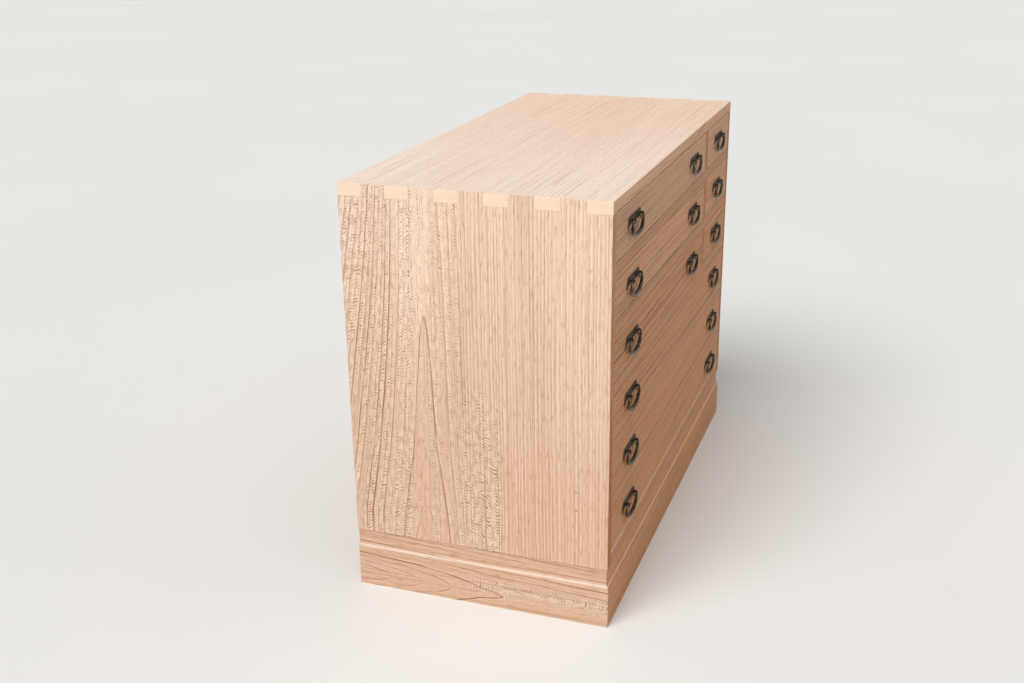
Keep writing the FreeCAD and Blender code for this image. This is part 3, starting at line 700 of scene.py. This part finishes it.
def iron(name, dark, bloom, rough_low, rough_high):
    """Dark iron with a bloom, soot in its pits, and bare metal on its edges and undersides."""
    material, tree = new_material(name, bloom)
    place = add(tree, "ShaderNodeTexCoord")
    spot = place.outputs["Object"]
    upwards = add(tree, "ShaderNodeSeparateXYZ", {0: place.outputs["Normal"]}).outputs[2]
    cloud = mottle(tree, spot, (160.0, 160.0, 160.0), 4.0)
    grit = mottle(tree, spot, (1500.0, 1500.0, 1500.0), 3.0)
    wires = {"Vector": spot, "Scale": DENTS_PER_METRE, "Smoothness": 0.6}
    dents = add(tree, "ShaderNodeTexVoronoi", wires, feature="SMOOTH_F1").outputs["Distance"]
    edge = add(tree, "ShaderNodeNewGeometry").outputs["Pointiness"]
    under = calc(tree, "MULTIPLY", upwards, -0.6)
    rubbed = ease(tree, calc(tree, "MULTIPLY_ADD", cloud, 0.35, under), 0.25, 0.75)
    rubbed = calc(tree, "MAXIMUM", rubbed, ease(tree, edge, 0.53, 0.60))
    colour = blend(tree, ease(tree, cloud, 0.35, 0.65), dark, bloom)
    colour = blend(tree, ease(tree, grit, 0.55, 0.75, 0.0, 0.5), colour, SOOT)
    colour = blend(tree, calc(tree, "MULTIPLY", rubbed, 0.7), colour, BARE)
    rough = calc(tree, "MULTIPLY_ADD", rubbed, -0.12, ease(tree, cloud, 0.3, 0.7, rough_low, rough_high))
    height = calc(tree, "MULTIPLY_ADD", grit, 0.25, dents)
    relief = add(tree, "ShaderNodeBump", {"Strength": 0.5, "Distance": RELIEF_DEPTH, "Height": height})
    skin = tree.nodes["Principled BSDF"]
    skin.inputs["Metallic"].default_value = 0.9
    tree.links.new(colour, skin.inputs["Base Color"])
    tree.links.new(rough, skin.inputs["Roughness"])
    tree.links.new(relief.outputs[0], skin.inputs["Normal"])
    return material


ring_iron = iron("ring_iron", paint(54, 43, 31), paint(96, 85, 66), 0.34, 0.48)
plate_iron = iron("plate_iron", paint(44, 33, 24), paint(76, 61, 46), 0.54, 0.68)
print("iron nodes:", len(ring_iron.node_tree.nodes))

# %% [markdown]
# The rings that hang from the posts
#
# A pull's ring is one bar: it starts in a small bud, curls into the post's eye, turns down at an elbow
# and swells towards the bottom, where the fingers take it. So it is drawn as one line with a thickness
# at each point, and a node tree sweeps a round bar along that line and dents it with a hammer. Fifteen
# rings come from the same tree, and the dents differ because they are looked up by place.

# %% The line of a ring
PIN, MIDDLE, HALF_WIDTH, DROP = 1.6 * MM, 3.4 * MM, 33.7 * MM, 27 * MM
ELBOW, CURL, EYE_HALF, SETBACK, BUD = 5 * MM, 2.6 * MM, 24.5 * MM, 5 * MM, 2.0 * MM
ROUNDNESS, SWELL = 0.8, 0.45
EYE_Y = -233.5 * MM


def ring_half():
    """Points and thicknesses from the bottom of the ring up to its right-hand bud."""
    line = []
    for step in range(41):
        angle = pi / 2 * (1 - step / 40)
        x = HALF_WIDTH * abs(cos(angle)) ** ROUNDNESS
        z = -ELBOW - (DROP - ELBOW) * sin(angle) ** ROUNDNESS
        line.append((x, z, PIN + (MIDDLE - PIN) * sin(angle) ** SWELL))
    for step in range(1, 7):
        angle = pi / 12 * step
        line.append((HALF_WIDTH - ELBOW + ELBOW * cos(angle), -ELBOW + ELBOW * sin(angle), PIN))
    curl_x = EYE_HALF - SETBACK
    for step in range(1, 6):
        line.append((HALF_WIDTH - ELBOW + (curl_x - HALF_WIDTH + ELBOW) * step / 5, 0.0, PIN))
    for step in range(1, 11):
        angle = pi / 2 + pi * step / 10
        swell = PIN + (BUD - PIN) * max(0, (step - 6) / 4)
        line.append((curl_x + CURL * cos(angle), -CURL + CURL * sin(angle), swell))
    x, z, _ = line[-1]
    for step in range(1, 7):
        angle = pi / 2 * step / 6
        line.append((x + BUD * sin(angle) * 0.95, z, max(BUD * cos(angle), 0.15 * MM)))
    return line


half = ring_half()
ring_line = [(-x, z, thick) for x, z, thick in reversed(half[1:])] + half
print("points along a ring:", len(ring_line))

# %% The tree that forges a ring
def geometry_tree(name, sockets):
    tree = bpy.data.node_groups.new(name, "GeometryNodeTree")
    tree.interface.new_socket("Geometry", in_out="INPUT", socket_type="NodeSocketGeometry")
    tree.interface.new_socket("Geometry", in_out="OUTPUT", socket_type="NodeSocketGeometry")
    for label, (kind, value) in sockets.items():
        socket = tree.interface.new_socket(label, in_out="INPUT", socket_type="NodeSocket" + kind)
        if value is not None:
            socket.default_value = value
    return tree, add(tree, "NodeGroupInput").outputs, add(tree, "NodeGroupOutput")


def hammer(tree, geometry, given, amount):
    """Move the surface in and out as hammer blows do."""
    scaled = calc(tree, "DIVIDE", 1.0, given["Dent size"])
    dents = add(tree, "ShaderNodeTexVoronoi", {"Scale": scaled, "Smoothness": 0.35}, feature="SMOOTH_F1")
    lift = calc(tree, "SUBTRACT", dents.outputs["Distance"], 0.75)
    lift = calc(tree, "MULTIPLY", calc(tree, "MULTIPLY", lift, given["Dent depth"]), amount)
    normal = add(tree, "GeometryNodeInputNormal").outputs["Normal"]
    offset = add(tree, "ShaderNodeVectorMath", {0: normal, "Scale": lift}, operation="SCALE").outputs[0]
    return add(tree, "GeometryNodeSetPosition", {"Geometry": geometry, "Offset": offset}).outputs[0]


def end_tree(tree, geometry, given, result):
    """Every tree ends with real geometry, smooth and with its finish."""
    smooth = add(tree, "GeometryNodeSetShadeSmooth", {0: geometry}).outputs[0]
    real = add(tree, "GeometryNodeRealizeInstances", {0: smooth}).outputs[0]
    done = add(tree, "GeometryNodeSetMaterial", {"Geometry": real, "Material": given["Finish"]}).outputs[0]
    tree.links.new(done, result.inputs[0])


def ring_tree():
    sockets = {
        "Sides": ("Int", 14), "Dent size": ("Float", 3.2 * MM), "Dent depth": ("Float", 0.22 * MM),
        "Finish": ("Material", None),
    }
    tree, given, result = geometry_tree("Forge a ring", sockets)
    bar = add(tree, "GeometryNodeCurvePrimitiveCircle", {"Resolution": given["Sides"], "Radius": 1.0})
    thick = add(tree, "GeometryNodeInputRadius").outputs[0]
    wires = {"Curve": given["Geometry"], "Profile Curve": bar.outputs[0], "Scale": thick, "Fill Caps": True}
    swept = add(tree, "GeometryNodeCurveToMesh", wires)
    share = ease(tree, thick, PIN * 1.02, MIDDLE * 0.8)
    end_tree(tree, hammer(tree, swept.outputs[0], given, share), given, result)
    return tree


def give_inputs(modifier, values):
    """Set a modifier's inputs, which are stored by identifier and not by name."""
    for item in modifier.node_group.interface.items_tree:
        if item.in_out == "INPUT" and item.name in values:
            modifier[item.identifier] = values[item.name]


forge = ring_tree()
print("ring tree nodes:", len(forge.nodes))

# %% Forge the fifteen rings
def made_mesh(source, name):
    """The evaluated shape of an object as a plain mesh object at the origin."""
    graph = bpy.context.evaluated_depsgraph_get()
    mesh = bpy.data.meshes.new_from_object(source.evaluated_get(graph), depsgraph=graph)
    mesh.name = name
    bpy.data.objects.remove(source)
    piece = bpy.data.objects.new(name, mesh)
    bpy.context.scene.collection.objects.link(piece)
    return piece


def eye_of(node):
    """Where the middle of a pull's eyes is: the ring hangs from it by its pin's radius."""
    low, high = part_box(node)
    return Vector(((low.x + high.x) / 2, EYE_Y, high.z - PIN))


def forge_ring(node):
    eye = eye_of(node)
    curve = bpy.data.curves.new(node + "_line", "CURVE")
    curve.dimensions = "3D"
    spline = curve.splines.new("POLY")
    spline.points.add(len(ring_line) - 1)
    for point, (x, z, thick) in zip(spline.points, ring_line):
        point.co = (eye.x + x, eye.y, eye.z + z, 1.0)
        point.radius = thick
    line = bpy.data.objects.new(node + "_line", curve)
    bpy.context.scene.collection.objects.link(line)
    modifier = line.modifiers.new("forge", "NODES")
    modifier.node_group = forge
    give_inputs(modifier, {"Sides": 14, "Finish": ring_iron})
    piece = made_mesh(line, node + "_ring")
    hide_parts(node)
    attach(piece, node)
    return piece


rings = [forge_ring(node) for node in sorted(frame["nodes"]) if node.startswith("bail_")]
print("rings:", len(rings), "faces in each:", len(rings[0].data.polygons))

# %% [markdown]
# Back plates and posts
#
# Behind each ring is a thin plate, a straight band with two drooping wings, and two posts whose round
# heads carry the ring. They never move against each other, so one pull's plate and posts are one small
# mesh. The plate is cut into a fine grid first, because a hammer tree can only move points that exist.
# A second tree sets this mesh out along the drawer front, as many times as the drawer has pulls.

# %% Cut the plate
PLATE_THICK, PLATE_EDGE, PLATE_REACH, PLATE_RISE = 1.5 * MM, 0.5 * MM, 44 * MM, 11 * MM
GRID, GRID_SHIFT = 1.3 * MM, 0.13 * MM
plate_half = [(33.0, 7.0), (37.0, 3.5), (43.5, -10.5), (31.0, -6.5)]
plate_line = plate_half + [(-x, z) for x, z in reversed(plate_half)]


def plate_form():
    """The plate, its back on the drawer front, with an eased edge and a grid of small faces."""
    form = bmesh.new()
    face = form.faces.new([form.verts.new((x * MM, 0, z * MM)) for x, z in plate_line])
    raised = bmesh.ops.extrude_face_region(form, geom=[face])["geom"]
    for item in raised:
        if isinstance(item, bmesh.types.BMVert):
            item.co.y -= PLATE_THICK
    bmesh.ops.recalc_face_normals(form, faces=form.faces)
    rim = [edge for edge in form.edges if all(v.co.y < -PLATE_THICK / 2 for v in edge.verts)]
    bmesh.ops.bevel(form, geom=rim, offset=PLATE_EDGE, segments=2, profile=0.6, affect="EDGES")
    for axis, reach in (((1, 0, 0), PLATE_REACH), ((0, 0, 1), PLATE_RISE)):
        for step in range(-int(reach / GRID), int(reach / GRID) + 1):
            cut = Vector(axis) * (step * GRID + GRID_SHIFT)
            everything = form.verts[:] + form.edges[:] + form.faces[:]
            bmesh.ops.bisect_plane(form, geom=everything, plane_co=cut, plane_no=axis)
    beaten = form.verts.layers.float.new("beaten")
    for vertex in form.verts:
        vertex[beaten] = 1.0 if vertex.co.y < -PLATE_THICK * 0.98 else 0.0
    return form


plate = plate_form()
print("plate faces:", len(plate.faces))

# %% Turn the posts
STANDOFF, HEAD, BORE, FRONT_BOARD = 6.5 * MM, 3.5 * MM, 1.68 * MM, 20 * MM
SHANK, COLLAR, COLLAR_THICK = 2 * MM, 3.4 * MM, 1.5 * MM
LEGS, LEG_EDGE = (3 * MM, 1.2 * MM, 16 * MM), 0.35 * MM


def spin(form, profile, axis, middle, sides=22):
    """Spin a profile of (distance along, radius) points about an axis through middle."""
    first, second = {"X": ("Y", "Z"), "Y": ("Z", "X")}[axis]
    loops = []
    for along, radius in profile:
        loop = []
        for step in range(sides):
            angle = 2 * pi * step / sides
            place = Vector(middle)
            place[AXES[axis]] += along
            place[AXES[first]] += radius * cos(angle)
            place[AXES[second]] += radius * sin(angle)
            loop.append(form.verts.new(place))
        loops.append(loop)
    closed = profile[0] == profile[-1]
    for near, far in zip(loops, loops[1:]):
        for n in range(sides):
            m = (n + 1) % sides
            form.faces.new((near[n], near[m], far[m], far[n]))
    if not closed:
        form.faces.new(loops[0])
        form.faces.new(loops[-1])


def post_form(form, x):
    """A post: a bored head, a shank with its collar, and two legs folded behind the board."""
    edge = (HEAD ** 2 - BORE ** 2) ** 0.5
    ball = []
    for n in range(19):
        along = -edge * cos(pi * n / 18)
        ball.append((along, max((HEAD ** 2 - along ** 2) ** 0.5, BORE)))
    spin(form, ball + [(edge, BORE), (-edge, BORE), ball[0]], "X", (x, -STANDOFF, 0))
    top = STANDOFF - PLATE_THICK - COLLAR_THICK
    collar = [
        (BORE + 0.25 * MM, 1.2 * MM), (BORE + 0.6 * MM, SHANK), (top, SHANK),
        (top + 0.2 * MM, COLLAR - 0.5 * MM), (top + 0.5 * MM, COLLAR - 0.1 * MM), (top + 0.9 * MM, COLLAR),
        (top + COLLAR_THICK, COLLAR), (top + COLLAR_THICK, SHANK), (STANDOFF + FRONT_BOARD, SHANK),
    ]
    spin(form, collar, "Y", (x, -STANDOFF, 0))
    legs = bmesh.ops.create_cube(form, size=1.0)["verts"]
    bmesh.ops.scale(form, vec=LEGS, verts=legs)
    bmesh.ops.translate(form, vec=(x, FRONT_BOARD + LEGS[1] / 2, 0), verts=legs)
    edges = list({edge for vertex in legs for edge in vertex.link_edges})
    bmesh.ops.bevel(form, geom=edges, offset=LEG_EDGE, segments=2, profile=0.6, affect="EDGES")


for side_x in (-EYE_HALF, EYE_HALF):
    post_form(plate, side_x)
bmesh.ops.remove_doubles(plate, verts=plate.verts, dist=0.001 * MM)
bmesh.ops.recalc_face_normals(plate, faces=plate.faces)
pull_mesh = bpy.data.meshes.new("one_pull")
plate.to_mesh(pull_mesh)
plate.free()
one_pull = bpy.data.objects.new("one_pull", pull_mesh)
bpy.context.scene.collection.objects.link(one_pull)
print("faces of one pull's plate and posts:", len(pull_mesh.polygons))

# %% The tree that sets out a drawer's pulls
def fittings_tree():
    sockets = {
        "Pull": ("Object", None), "Pulls": ("Int", 2),
        "First pull": ("Vector", None), "Step": ("Vector", None),
        "Dent size": ("Float", 3.6 * MM), "Dent depth": ("Float", 0.3 * MM), "Finish": ("Material", None),
    }
    tree, given, result = geometry_tree("Set out the pulls", sockets)
    wires = {"Count": given["Pulls"], "Start Location": given["First pull"], "Offset": given["Step"]}
    places = add(tree, "GeometryNodeMeshLine", wires, mode="OFFSET").outputs[0]
    shape = add(tree, "GeometryNodeObjectInfo", {"Object": given["Pull"]}).outputs["Geometry"]
    pulls = add(tree, "GeometryNodeInstanceOnPoints", {"Points": places, "Instance": shape}).outputs[0]
    solid = add(tree, "GeometryNodeRealizeInstances", {0: pulls}).outputs[0]
    beaten = add(tree, "GeometryNodeInputNamedAttribute", {"Name": "beaten"}, data_type="FLOAT").outputs[0]
    end_tree(tree, hammer(tree, solid, given, beaten), given, result)
    return tree


setting_out = fittings_tree()
print("setting-out tree nodes:", len(setting_out.nodes))

# %% Fit plates and posts to the nine drawers
pull_places = {}
for node in sorted(frame["nodes"]):
    if node.startswith("bail_"):
        parent = next(joint["parent"] for joint in frame["joints"] if joint["child"] == node)
        pull_places.setdefault(parent, []).append(eye_of(node))


def fit_pulls(drawer, eyes):
    eyes = sorted(eyes, key=lambda eye: eye.x)
    start = Vector((eyes[0].x, eyes[0].y + STANDOFF, eyes[0].z))
    step = eyes[-1] - eyes[0]
    holder = bpy.data.objects.new(drawer + "_holder", bpy.data.meshes.new("empty"))
    bpy.context.scene.collection.objects.link(holder)
    modifier = holder.modifiers.new("fit", "NODES")
    modifier.node_group = setting_out
    give_inputs(modifier, {"Pull": one_pull, "Pulls": len(eyes), "First pull": start, "Step": step,
                           "Finish": plate_iron})
    piece = made_mesh(holder, drawer + "_plates_and_posts")
    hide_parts(drawer + "_fixings")
    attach(piece, drawer)
    return piece


fittings = [fit_pulls(drawer, eyes) for drawer, eyes in sorted(pull_places.items())]
bpy.data.objects.remove(one_pull)
print("drawers with plates:", len(fittings), "faces:", sum(len(piece.data.polygons) for piece in fittings))

# %% [markdown]
# Floor, light and background
#
# The studio is plain: a pale floor that runs far past the picture, and four broad, soft suns. The
# strongest stands high at the back left and models the side and the top. A low one from the left fills
# the side, a weak one in front keeps the drawer fronts readable, one overhead lifts the top and the
# ledge of the plinth, and an even sky does the rest.

# %% The floor
FLOOR_REACH = 40.0


def floor():
    """A plain pale sheet, which only holds the shadow."""
    material, tree = new_material("floor", paint(236, 235, 233))
    place = add(tree, "ShaderNodeTexCoord").outputs["Object"]
    cloud = mottle(tree, place, (0.8, 0.8, 0.8), 2.0)
    skin = tree.nodes["Principled BSDF"]
    skin.inputs["Specular IOR Level"].default_value = 0.1
    colour = blend(tree, cloud, paint(233, 232, 229), paint(239, 238, 236))
    tree.links.new(colour, skin.inputs["Base Color"])
    tree.links.new(ease(tree, cloud, 0.0, 1.0, 0.85, 0.95), skin.inputs["Roughness"])
    mesh = bpy.data.meshes.new("floor")
    corners = [(x * FLOOR_REACH, y * FLOOR_REACH, 0) for x, y in ((-1, -1), (1, -1), (1, 1), (-1, 1))]
    mesh.from_pydata(corners, [], [(0, 1, 2, 3)])
    mesh.materials.append(material)
    piece = bpy.data.objects.new("floor", mesh)
    bpy.context.scene.collection.objects.link(piece)
    return piece


floor()
print("floor laid")

# %% The lights
SKY_STRENGTH, BACKGROUND, IN_METAL = 0.18, 0.82, 0.6


def sun(name, towards, strength, softness):
    """A broad light from afar: where it stands, how strong it is, and how many degrees wide."""
    light = bpy.data.lights.new(name, "SUN")
    light.energy = strength * pi
    light.angle = softness * pi / 180
    lamp = bpy.data.objects.new(name, light)
    lamp.rotation_mode = "QUATERNION"
    lamp.rotation_quaternion = Vector(towards).to_track_quat("Z", "Y")
    bpy.context.scene.collection.objects.link(lamp)


sun("high_left", (-0.60, 0.26, 0.75), 0.60, 40)
sun("low_left", (-0.93, 0.05, 0.36), 0.22, 60)
sun("low_front", (0.20, -0.90, 0.39), 0.055, 60)
sun("overhead", (-0.10, -0.30, 0.95), 0.24, 60)

# %% The sky
world = bpy.data.worlds.new("studio")
world.use_nodes = True
air = world.node_tree
sky = air.nodes["Background"]
sky.inputs["Color"].default_value = (1, 1, 1, 1)
sky.inputs["Strength"].default_value = SKY_STRENGTH
seen = add(air, "ShaderNodeLightPath").outputs
mirrored = calc(air, "MULTIPLY", seen["Is Glossy Ray"], IN_METAL)
shown = calc(air, "MAXIMUM", seen["Is Camera Ray"], mirrored)
air.links.new(ease(air, shown, 0.0, 1.0, SKY_STRENGTH, BACKGROUND), sky.inputs["Strength"])
bpy.context.scene.world = world
bpy.context.scene.view_settings.view_transform = "Standard"
print("lights: 4 and the sky")
